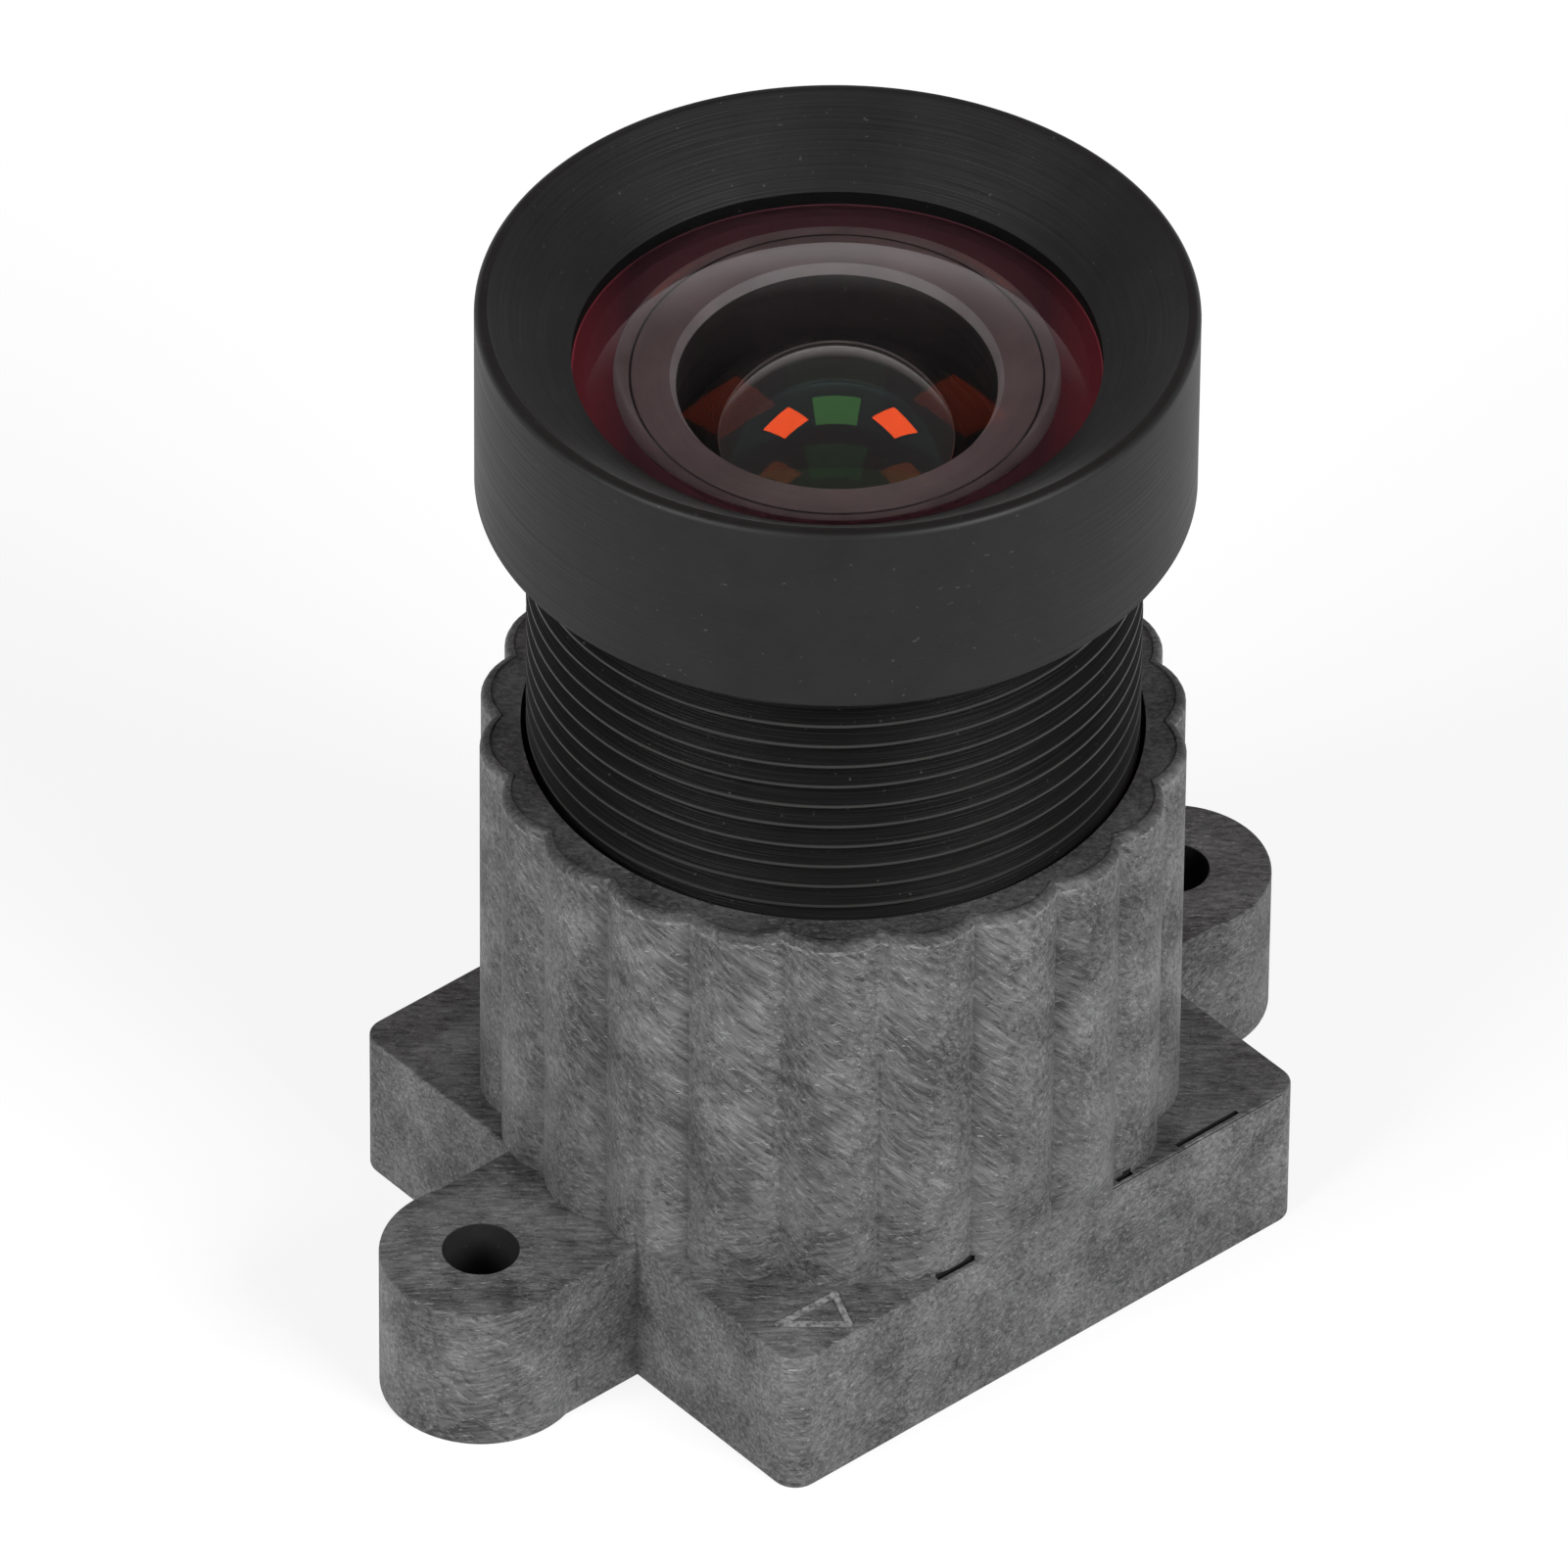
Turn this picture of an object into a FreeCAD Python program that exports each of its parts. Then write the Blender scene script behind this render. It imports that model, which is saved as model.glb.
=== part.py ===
import FreeCAD
import Part

import math
import os

"""Board camera lens with an M12 x 0.5 thread, screwed into its moulded lens holder.

Millimetres. The origin is the middle of the holder's flat underside. Z runs up along the
optical axis and X runs along the line of the two screw holes in the holder's ears.
"""

# Lens holder: a square plate with two ears, and a fluted barrel that carries the lens thread
PLATE_WALL = 0.55
PLATE_THICKNESS = 3.35
PLATE_CORNER_R = 0.5
HOLDER_HEIGHT = 12.05
BARREL_WALL = 0.9
FLUTE_COUNT = 22
FLUTE_LOBE_R = 1.4
BARREL_TOP_BEVEL = 0.14
FLUTE_RUNOUT_HEIGHT = 0.9
EAR_HOLE_PITCH = 18.0
EAR_END_R = 2.0
EAR_NECK_WIDTH = 3.84
EAR_HOLE_D = 1.5
SENSOR_POCKET_WALL = 0.9
SENSOR_POCKET_DEPTH = 2.3
SENSOR_POCKET_CORNER_R = 1.0
LEAD_IN_DEPTH = 0.5
LEAD_IN_STEP = 0.05

# Lens thread, drawn at its major diameter
THREAD_D = 12.0
THREAD_CLEARANCE = 0.05
THREAD_END_CHAMFER = 0.3
THREAD_RELIEF_DEPTH = 0.4
THREAD_RELIEF_LENGTH = 0.9

# Height of the lens barrel's rear end above the underside: where the lens is focused
LENS_REAR_Z = 6.0

# Front cap: the flared head that screws over the barrel and clamps the front element
HEAD_HEIGHT = 4.3
RIM_LAND = 0.1
RIM_ROUND = 0.15
CONE_DEPTH = 1.25
LIP_THICKNESS = 0.3
LIP_OVERLAP = 0.57
HEAD_BOTTOM_CHAMFER = 0.12
SKIRT_WALL = 0.7
HUB_WALL = 0.5
HUB_CLEARANCE = 0.05
HUB_TOP_GAP = 0.3

# Fits inside the lens barrel, and room round each curved surface in its ring
BORE_CLEARANCE = 0.05
APERTURE_CLEARANCE = 0.1
GLASS_BEVEL = 0.08

# Infrared filter and the ring that holds the rear group
FILTER_STEP = 0.55
FILTER_THICKNESS = 0.3
FILTER_BOND = 0.03
RETAINER_STEP = 0.25
RETAINER_HEIGHT = 0.75
RETAINER_SLOT_WIDTH = 0.7
RETAINER_SLOT_DEPTH = 0.35
RETAINER_SLOTS = 2

# Rear group, from the rear end upwards. A depth is that of a curved surface from its edge to its pole,
# and a land is the flat ring left round that surface on its element
REAR_GROUP_D = 7.4
SIXTH_EDGE = 1.1
SIXTH_FRONT_DEPTH = 0.58
SIXTH_FRONT_LAND = 1.25
SIXTH_REAR_DEPTH = 0.35
SIXTH_REAR_LAND = 0.85
SHIELD_THICKNESS = 0.1
REAR_SPACER_HEIGHT = 1.04
FIFTH_EDGE = 1.7
FIFTH_REAR_DEPTH = 0.17
FIFTH_REAR_LAND = 1.1
CEMENTED_DEPTH = 0.9
FOURTH_EDGE = 1.25
FOURTH_FRONT_DEPTH = 0.38
FOURTH_FRONT_LAND = 1.6
STOP_SPACER_HEIGHT = 0.6
STOP_THICKNESS = 0.15
STOP_HOLE_D = 2.2
STOP_KNIFE_EDGE = 0.03

# The barrel's inner flange parts the two groups
FLANGE_THICKNESS = 1.3

# Front group, from the flange upwards
FRONT_GROUP_D = 8.2
THIRD_EDGE = 1.7
THIRD_FRONT_DEPTH = 0.73
THIRD_REAR_DEPTH = 0.59
THIRD_LAND = 1.5
MIDDLE_SPACER_HEIGHT = 1.4
SECOND_EDGE = 1.2
SECOND_FRONT_DEPTH = 1.3
SECOND_FRONT_LAND = 1.35
SECOND_REAR_DEPTH = 1.34
SECOND_REAR_LAND = 1.6
FRONT_SPACER_HEIGHT = 1.13
FRONT_SPACER_BEVEL = 0.2
FIRST_D = 11.4
FIRST_EDGE = 0.88
FIRST_DOME_STEP = 0.03
FIRST_FRONT_DEPTH = 1.3
FIRST_REAR_DEPTH = 0.5
FIRST_REAR_LAND = 1.98

# Heights above the underside, each worked out from the one below it
filter_bottom = LENS_REAR_Z + FILTER_BOND
retainer_bottom = filter_bottom + FILTER_THICKNESS + FILTER_BOND
sixth_rear = retainer_bottom + RETAINER_HEIGHT
sixth_front = sixth_rear + SIXTH_EDGE
rear_shield_top = sixth_front + SHIELD_THICKNESS
fifth_rear = rear_shield_top + REAR_SPACER_HEIGHT
cemented_edge = fifth_rear + FIFTH_EDGE
fourth_front = cemented_edge + FOURTH_EDGE
stop_bottom = fourth_front + STOP_SPACER_HEIGHT
flange_bottom = stop_bottom + STOP_THICKNESS
third_rear = flange_bottom + FLANGE_THICKNESS
third_front = third_rear + THIRD_EDGE
middle_spacer_top = third_front + MIDDLE_SPACER_HEIGHT
second_rear = middle_spacer_top + SHIELD_THICKNESS
second_front = second_rear + SECOND_EDGE
first_rear = second_front + FRONT_SPACER_HEIGHT
lip_bottom = first_rear + FIRST_EDGE
cone_foot = lip_bottom + LIP_THICKNESS
rim_top = cone_foot + CONE_DEPTH
head_bottom = rim_top - HEAD_HEIGHT
hub_top = lip_bottom - HUB_TOP_GAP
relief_bottom = head_bottom - THREAD_RELIEF_LENGTH

# Radii that follow from the sizes above
thread_r = THREAD_D / 2
bore_r = thread_r + THREAD_CLEARANCE
crest_r = bore_r + BARREL_WALL
half_plate = bore_r + PLATE_WALL
relief_r = thread_r - THREAD_RELIEF_DEPTH
first_r = FIRST_D / 2
front_group_r = FRONT_GROUP_D / 2
rear_group_r = REAR_GROUP_D / 2
retainer_r = rear_group_r + RETAINER_STEP
filter_r = retainer_r + FILTER_STEP
hub_r = first_r + BORE_CLEARANCE + HUB_WALL
skirt_r = hub_r + HUB_CLEARANCE
head_r = skirt_r + SKIRT_WALL
cone_foot_r = first_r - LIP_OVERLAP

# Radii of the elements' curved surfaces
first_front_r = cone_foot_r - FIRST_DOME_STEP
first_rear_r = first_r - FIRST_REAR_LAND
second_front_r = front_group_r - SECOND_FRONT_LAND
second_rear_r = front_group_r - SECOND_REAR_LAND
third_surface_r = front_group_r - THIRD_LAND
fourth_front_r = rear_group_r - FOURTH_FRONT_LAND
fifth_rear_r = rear_group_r - FIFTH_REAR_LAND
sixth_front_r = rear_group_r - SIXTH_FRONT_LAND
sixth_rear_r = rear_group_r - SIXTH_REAR_LAND

UP = FreeCAD.Vector(0, 0, 1)
AXIS_FOOT = FreeCAD.Vector(0, 0, 0)


def point(r, z):
    """A point of a turned profile: r from the optical axis, z above the underside."""
    return FreeCAD.Vector(r, 0, z)


def line(a, b):
    return Part.LineSegment(a, b).toShape()


def polyline(points):
    return [line(a, b) for a, b in zip(points, points[1:])]


def turned(edges):
    """A solid of revolution about the optical axis, from the edges of a closed profile."""
    wire = Part.Wire(Part.__sortEdges__(edges))
    return Part.Face(wire).revolve(AXIS_FOOT, UP, 360)


def turned_polygon(points):
    return turned(polyline(points + points[:1]))


def ring(hole_r, outer_r, bottom, top):
    corners = [point(hole_r, bottom), point(outer_r, bottom), point(outer_r, top), point(hole_r, top)]
    return turned_polygon(corners)


def hole_round(surface_r):
    """Radius of a ring's hole that clears a curved surface of that radius."""
    return surface_r + APERTURE_CLEARANCE


def surface(edge_z, aperture_r, depth):
    """The profile arc of a spherical surface. Its pole lies above the edge where depth is positive."""
    sphere_r = (aperture_r ** 2 + depth ** 2) / (2 * abs(depth))
    pole = point(0, edge_z + depth)
    middle_drop = sphere_r - math.sqrt(sphere_r ** 2 - (aperture_r / 2) ** 2)
    middle = point(aperture_r / 2, pole.z - math.copysign(middle_drop, depth))
    return pole, Part.Arc(pole, middle, point(aperture_r, edge_z)).toShape()


def element(outer_r, front, rear):
    """A lens element. front and rear are (edge height, radius of the curved part, its depth)."""
    front_z, front_r, front_depth = front
    rear_z, rear_r, rear_depth = rear
    front_pole, front_arc = surface(front_z, front_r, front_depth)
    rear_pole, rear_arc = surface(rear_z, rear_r, rear_depth)
    outline = [point(front_r, front_z)]
    if front_r < outer_r:
        outline += [point(outer_r - GLASS_BEVEL, front_z), point(outer_r, front_z - GLASS_BEVEL)]
    if rear_r < outer_r:
        outline += [point(outer_r, rear_z + GLASS_BEVEL), point(outer_r - GLASS_BEVEL, rear_z)]
    outline.append(point(rear_r, rear_z))
    return turned([front_arc] + polyline(outline) + [rear_arc, line(rear_pole, front_pole)])


def rounded_square(side, corner_r, bottom, height):
    """An upright square block about the optical axis with rounded vertical edges."""
    block = Part.makeBox(side, side, height, FreeCAD.Vector(-side / 2, -side / 2, bottom))
    upright = [edge for edge in block.Edges if abs(edge.tangentAt(edge.FirstParameter).z) > 0.99]
    return block.makeFillet(corner_r, upright)


def upright_cylinder(diameter, bottom, top, x=0.0):
    return Part.makeCylinder(diameter / 2, top - bottom, FreeCAD.Vector(x, 0, bottom))


def fluted_outline(inset, z):
    """The barrel's outline at one height: convex lobes that meet in sharp inward grooves."""
    lobe_r = FLUTE_LOBE_R - inset
    centre_r = crest_r - FLUTE_LOBE_R
    half_step = math.pi / FLUTE_COUNT
    groove_r = centre_r * math.cos(half_step) + math.sqrt(lobe_r ** 2 - (centre_r * math.sin(half_step)) ** 2)
    edges = []
    for lobe in range(FLUTE_COUNT):
        angle = 2 * half_step * lobe
        ends = [
            FreeCAD.Vector(groove_r * math.cos(turn), groove_r * math.sin(turn), z)
            for turn in (angle - half_step, angle + half_step)
        ]
        top_r = centre_r + lobe_r
        crest = FreeCAD.Vector(top_r * math.cos(angle), top_r * math.sin(angle), z)
        edges.append(Part.Arc(ends[0], crest, ends[1]).toShape())
    return Part.Wire(edges)


def fluted_barrel():
    """The holder's barrel, with a bevel round its top edge."""
    bevel_z = HOLDER_HEIGHT - BARREL_TOP_BEVEL
    wall = Part.Face(fluted_outline(0, PLATE_THICKNESS)).extrude(UP * (bevel_z - PLATE_THICKNESS))
    top = Part.makeLoft([fluted_outline(0, bevel_z), fluted_outline(BARREL_TOP_BEVEL, HOLDER_HEIGHT)], True, True)
    return wall.fuse(top)


def runout_wedge(length, start):
    """A wedge that trims the lobes beyond the plate's side, so that they run out to its plane."""
    reach = crest_r - half_plate
    bottom = PLATE_THICKNESS
    corners = [
        FreeCAD.Vector(half_plate, start, bottom),
        FreeCAD.Vector(half_plate + 2 * reach, start, bottom),
        FreeCAD.Vector(half_plate + 2 * reach, start, bottom + 2 * FLUTE_RUNOUT_HEIGHT),
    ]
    face = Part.Face(Part.makePolygon(corners + corners[:1]))
    return face.extrude(FreeCAD.Vector(0, length, 0))


def runout_cuts():
    """The wedges of the four sides. On the two ear sides they stand beside the ear."""
    cuts = []
    for quarter in range(4):
        on_ear_side = quarter % 2 == 0
        clear_of_ear = EAR_NECK_WIDTH / 2 if on_ear_side else 0
        for side in (-1, 1):
            length = half_plate - clear_of_ear
            start = clear_of_ear if side > 0 else -half_plate
            wedge = runout_wedge(length, start)
            wedge.rotate(AXIS_FOOT, UP, 90 * quarter)
            cuts.append(wedge)
    return cuts


def ear(side):
    """A screw ear: a round end about its hole, and a slightly narrower neck to the plate."""
    hole_x = side * EAR_HOLE_PITCH / 2
    end = upright_cylinder(2 * EAR_END_R, 0, PLATE_THICKNESS, hole_x)
    neck_start = FreeCAD.Vector(min(0, hole_x), -EAR_NECK_WIDTH / 2, 0)
    neck = Part.makeBox(abs(hole_x), EAR_NECK_WIDTH, PLATE_THICKNESS, neck_start)
    return end.fuse(neck)


def lens_holder():
    body = rounded_square(2 * half_plate, PLATE_CORNER_R, 0, PLATE_THICKNESS)
    body = body.fuse([ear(-1), ear(1), fluted_barrel().cut(runout_cuts())])
    pocket_side = 2 * (half_plate - SENSOR_POCKET_WALL)
    pocket = rounded_square(pocket_side, SENSOR_POCKET_CORNER_R, 0, SENSOR_POCKET_DEPTH)
    bore = upright_cylinder(2 * bore_r, 0, HOLDER_HEIGHT)
    lead_in = upright_cylinder(2 * (bore_r + LEAD_IN_STEP), HOLDER_HEIGHT - LEAD_IN_DEPTH, HOLDER_HEIGHT)
    holes = [upright_cylinder(EAR_HOLE_D, 0, PLATE_THICKNESS, side * EAR_HOLE_PITCH / 2) for side in (-1, 1)]
    return body.cut([pocket, bore, lead_in] + holes).removeSplitter()


def front_cap():
    """The head: a skirt over the barrel's hub, and a conical recess down to the clamping lip."""
    round_start = point(head_r, rim_top - RIM_ROUND)
    round_end = point(head_r - RIM_ROUND, rim_top)
    middle = RIM_ROUND * (1 - math.sqrt(0.5))
    rounded = Part.Arc(round_start, point(head_r - middle, rim_top - middle), round_end).toShape()
    inside = [
        round_end,
        point(head_r - RIM_ROUND - RIM_LAND, rim_top),
        point(cone_foot_r, cone_foot),
        point(cone_foot_r, lip_bottom),
        point(skirt_r, lip_bottom),
        point(skirt_r, head_bottom),
        point(head_r - HEAD_BOTTOM_CHAMFER, head_bottom),
        point(head_r, head_bottom + HEAD_BOTTOM_CHAMFER),
        round_start,
    ]
    return turned([rounded] + polyline(inside))


def lens_barrel():
    """The threaded barrel, bored in steps from both ends down to the flange between the groups."""
    filter_recess_r = filter_r + BORE_CLEARANCE
    retainer_bore_r = retainer_r + BORE_CLEARANCE
    rear_bore_r = rear_group_r + BORE_CLEARANCE
    front_bore_r = front_group_r + BORE_CLEARANCE
    first_bore_r = first_r + BORE_CLEARANCE
    flange_hole_r = hole_round(third_surface_r)
    outside = [
        point(filter_recess_r, LENS_REAR_Z),
        point(thread_r - THREAD_END_CHAMFER, LENS_REAR_Z),
        point(thread_r, LENS_REAR_Z + THREAD_END_CHAMFER),
        point(thread_r, relief_bottom),
        point(relief_r, relief_bottom + THREAD_RELIEF_DEPTH),
        point(relief_r, head_bottom),
        point(hub_r, head_bottom),
        point(hub_r, hub_top),
    ]
    front_bores = [
        point(first_bore_r, hub_top),
        point(first_bore_r, first_rear),
        point(front_bore_r, first_rear),
        point(front_bore_r, third_rear),
        point(flange_hole_r, third_rear),
    ]
    rear_bores = [
        point(flange_hole_r, flange_bottom),
        point(rear_bore_r, flange_bottom),
        point(rear_bore_r, sixth_rear),
        point(retainer_bore_r, sixth_rear),
        point(retainer_bore_r, retainer_bottom),
        point(filter_recess_r, retainer_bottom),
    ]
    return turned_polygon(outside + front_bores + rear_bores)


def front_element():
    front = (lip_bottom, first_front_r, FIRST_FRONT_DEPTH)
    rear = (first_rear, first_rear_r, FIRST_REAR_DEPTH)
    return element(first_r, front, rear)


def front_spacer():
    """The ring seen through the front element, with a bevelled hole."""
    hole_r = hole_round(second_front_r)
    return turned_polygon([
        point(hole_r, second_front),
        point(front_group_r, second_front),
        point(front_group_r, first_rear),
        point(hole_r + FRONT_SPACER_BEVEL, first_rear),
        point(hole_r, first_rear - FRONT_SPACER_BEVEL),
    ])


def second_element():
    front = (second_front, second_front_r, SECOND_FRONT_DEPTH)
    rear = (second_rear, second_rear_r, SECOND_REAR_DEPTH)
    return element(front_group_r, front, rear)


def front_light_shield():
    return ring(hole_round(second_rear_r), front_group_r, middle_spacer_top, second_rear)


def middle_spacer():
    return ring(hole_round(third_surface_r), front_group_r, third_front, middle_spacer_top)


def third_element():
    front = (third_front, third_surface_r, THIRD_FRONT_DEPTH)
    rear = (third_rear, third_surface_r, -THIRD_REAR_DEPTH)
    return element(front_group_r, front, rear)


def aperture_stop():
    """A thin disc whose hole is bevelled to a fine edge."""
    hole_r = STOP_HOLE_D / 2
    edge_bottom = flange_bottom - STOP_KNIFE_EDGE
    return turned_polygon([
        point(hole_r + edge_bottom - stop_bottom, stop_bottom),
        point(rear_group_r, stop_bottom),
        point(rear_group_r, flange_bottom),
        point(hole_r, flange_bottom),
        point(hole_r, edge_bottom),
    ])


def stop_spacer():
    return ring(hole_round(fourth_front_r), rear_group_r, fourth_front, stop_bottom)


def fourth_element():
    front = (fourth_front, fourth_front_r, FOURTH_FRONT_DEPTH)
    rear = (cemented_edge, rear_group_r, -CEMENTED_DEPTH)
    return element(rear_group_r, front, rear)


def fifth_element():
    front = (cemented_edge, rear_group_r, -CEMENTED_DEPTH)
    rear = (fifth_rear, fifth_rear_r, FIFTH_REAR_DEPTH)
    return element(rear_group_r, front, rear)


def rear_spacer():
    return ring(hole_round(fifth_rear_r), rear_group_r, rear_shield_top, fifth_rear)


def rear_light_shield():
    return ring(hole_round(sixth_front_r), rear_group_r, sixth_front, rear_shield_top)


def sixth_element():
    front = (sixth_front, sixth_front_r, SIXTH_FRONT_DEPTH)
    rear = (sixth_rear, sixth_rear_r, -SIXTH_REAR_DEPTH)
    return element(rear_group_r, front, rear)


def rear_retainer():
    """The threaded ring under the rear group, with slots for a spanner."""
    hole_r = hole_round(sixth_rear_r)
    body = ring(hole_r, retainer_r, retainer_bottom, sixth_rear)
    slots = []
    for number in range(RETAINER_SLOTS):
        corner = FreeCAD.Vector(hole_r / 2, -RETAINER_SLOT_WIDTH / 2, retainer_bottom)
        slot = Part.makeBox(retainer_r, RETAINER_SLOT_WIDTH, RETAINER_SLOT_DEPTH, corner)
        slot.rotate(AXIS_FOOT, UP, 360 * number / RETAINER_SLOTS)
        slots.append(slot)
    return body.cut(slots)


def ir_filter():
    return upright_cylinder(2 * filter_r, filter_bottom, filter_bottom + FILTER_THICKNESS)


PARTS = {
    "lens_holder": lens_holder(),
    "front_cap": front_cap(),
    "lens_barrel": lens_barrel(),
    "front_element": front_element(),
    "front_spacer": front_spacer(),
    "second_element": second_element(),
    "front_light_shield": front_light_shield(),
    "middle_spacer": middle_spacer(),
    "third_element": third_element(),
    "aperture_stop": aperture_stop(),
    "stop_spacer": stop_spacer(),
    "fourth_element": fourth_element(),
    "fifth_element": fifth_element(),
    "rear_spacer": rear_spacer(),
    "rear_light_shield": rear_light_shield(),
    "sixth_element": sixth_element(),
    "rear_retainer": rear_retainer(),
    "ir_filter": ir_filter(),
}

os.makedirs("parts", exist_ok=True)
for name, shape in PARTS.items():
    shape.exportStep("parts/" + name + ".step")
    print(name, "valid", shape.isValid(), "solids", len(shape.Solids), "volume", round(shape.Volume, 3))
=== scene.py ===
import math

import bmesh
import bpy
from bpy.props import FloatProperty, FloatVectorProperty, IntProperty, PointerProperty
from mathutils import Matrix, Vector


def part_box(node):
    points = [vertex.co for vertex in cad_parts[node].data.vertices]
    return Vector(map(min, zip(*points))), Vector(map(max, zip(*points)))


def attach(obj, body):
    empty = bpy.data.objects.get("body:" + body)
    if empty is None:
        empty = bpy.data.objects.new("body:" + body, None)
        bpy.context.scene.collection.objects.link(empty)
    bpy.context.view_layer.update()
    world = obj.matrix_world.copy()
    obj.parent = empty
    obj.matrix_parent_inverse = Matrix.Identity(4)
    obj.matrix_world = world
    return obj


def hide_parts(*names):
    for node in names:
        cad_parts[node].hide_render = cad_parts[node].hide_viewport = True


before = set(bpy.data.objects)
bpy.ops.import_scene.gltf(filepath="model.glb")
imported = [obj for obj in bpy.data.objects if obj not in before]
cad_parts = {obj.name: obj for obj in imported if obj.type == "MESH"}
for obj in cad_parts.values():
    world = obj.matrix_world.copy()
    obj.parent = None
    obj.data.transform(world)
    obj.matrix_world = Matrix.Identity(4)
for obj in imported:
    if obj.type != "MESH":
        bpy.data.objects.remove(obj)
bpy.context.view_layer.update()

# Looks of an M12 board camera lens in its moulded holder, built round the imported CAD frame. Metres. The origin
# is the middle of the holder's underside, Z runs up along the optical axis, and X along the line of the two
# screw holes.

bl_info = {
    "name": "Board camera lens",
    "version": (1, 0, 0),
    "blender": (4, 5, 0),
    "location": "View3D > Sidebar > Board lens",
    "description": "Dresses the CAD frame of an M12 board camera lens and its moulded holder",
    "category": "Object",
}

MM = 0.001
FULL_TURN = 2 * math.pi
MERGE_GAP = 5e-7
PAINT_GAP = 1e-5
FIT_GAP = 0.05 * MM
WARM = (1.0, 0.1, 0.008)
GREENISH = (0.22, 1.0, 0.2)
AXIS = (0, 0, 1)
FALLING_FIBRES = (0.58, -0.50, -0.64)
LEVEL_FIBRES = (0.74, -0.64, 0.16)
# SIDE_LIGHT is the direction along which painted reflections of the side softboxes brighten the front glass's
# edge paint
SIDE_LIGHT = (0.755, -0.655, 0)
# The slits at the foot of the barrel: x, y and length in millimetres
SCARS = [(4.25, -6.45, 1.6), (2.05, -6.48, 0.4), (-2.28, -6.42, 0.95)]
SCAR_WIDTH = 0.11 * MM
LOBE_STEPS = 10
EAR_STEPS = 44
THREAD_STEPS = 120
LAMP_TARGET = Vector((0, 0, 12 * MM))
LAMP_DISTANCE = 0.9
SOFTBOX_SIDE = 0.42

HOLDER_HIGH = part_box("lens_holder")[1]
CAP_LOW, CAP_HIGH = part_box("front_cap")
BARREL_LOW, BARREL_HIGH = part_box("lens_barrel")


def length(label, words, millimetres):
    return FloatProperty(name=label, description=words, default=millimetres * MM, unit="LENGTH", precision=6)


def angle(label, words, degrees):
    return FloatProperty(name=label, description=words, default=math.radians(degrees), subtype="ANGLE")


def colour(label, words, value):
    return FloatVectorProperty(name=label, description=words, default=value, subtype="COLOR", min=0, max=1)


# What the user can change


class HolderSizes(bpy.types.PropertyGroup):
    plate_side: length("Plate side", "Side of the square base plate", 13.2)
    plate_thickness: length("Plate thickness", "Height of the base plate and the ears", 3.35)
    plate_corner: length("Plate corner", "Radius of the plate's upright corners", 0.5)
    edge_round: length("Edge round", "Rounding of the moulding's outer edges", 0.045)
    ear_round: length("Ear end", "Radius of an ear's round end", 2.0)
    ear_neck: length("Ear neck", "Width of an ear's neck", 3.84)
    ear_pitch: length("Hole pitch", "Distance between the two screw holes", 18.0)
    ear_hole: length("Hole", "Diameter of a screw hole", 1.5)
    crest: length("Lobe crest", "Radius of the barrel at the crest of a lobe", 6.95)
    lobe: length("Lobe", "Radius of one lobe of the fluted barrel", 1.4)
    lobe_count: IntProperty(name="Lobes", description="Number of lobes round the barrel", default=22, min=3)
    top_bevel: length("Top bevel", "Bevel round the barrel's top edge", 0.14)
    runout: length("Run-out", "Height in which a lobe runs out to the plate's side", 0.9)
    bore: length("Bore", "Radius of the threaded bore", 6.05)
    lead_in_step: length("Lead-in", "Widening of the bore at its top", 0.05)
    lead_in_depth: length("Lead-in depth", "Depth of the wide part at the top of the bore", 0.5)
    pocket_side: length("Pocket side", "Side of the square sensor pocket underneath", 11.4)
    pocket_depth: length("Pocket depth", "Depth of the sensor pocket", 2.3)
    pocket_corner: length("Pocket corner", "Radius of the pocket's corners", 1.0)
    mark_width: length("Mark width", "Width of the index mark's ridges", 0.13)
    mark_height: length("Mark height", "Height of the index mark's ridges", 0.03)
    scar_depth: length("Slit depth", "Depth of the slits at the foot of the barrel", 0.09)


class ThreadSizes(bpy.types.PropertyGroup):
    pitch: length("Pitch", "Rise of the lens thread in one turn", 0.5)
    crest: length("Crest", "Radius of the lens thread at its crest", 6.0)
    depth: length("Depth", "Depth of the groove between two turns", 0.29)
    crest_flat: length("Crest flat", "Width of the flat on the crest", 0.05)
    root_flat: length("Root flat", "Width of the flat in the groove", 0.08)
    relief: length("Relief", "Radius of the plain neck under the head", 5.6)
    relief_length: length("Relief length", "Height of the plain neck under the head", 0.95)
    end_chamfer: length("End chamfer", "Chamfer on the rear end of the thread", 0.3)
    start_angle: angle("Thread start", "Angle about the axis at which a groove crosses the crest's height", 220)


class CapSizes(bpy.types.PropertyGroup):
    rim_land: length("Rim land", "Width of the flat on the rim", 0.1)
    rim_round: length("Rim round", "Rounding of the rim's outer edge", 0.15)
    cone_depth: length("Cone depth", "Depth of the conical recess", 1.25)
    lip: length("Lip", "Thickness of the lip that holds the front glass", 0.3)
    lip_hole: length("Lip hole", "Radius of the hole in the lip", 5.13)
    skirt: length("Skirt bore", "Radius of the bore that takes the barrel's hub", 6.35)
    bottom_chamfer: length("Bottom chamfer", "Chamfer on the head's lower edge", 0.12)


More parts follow.
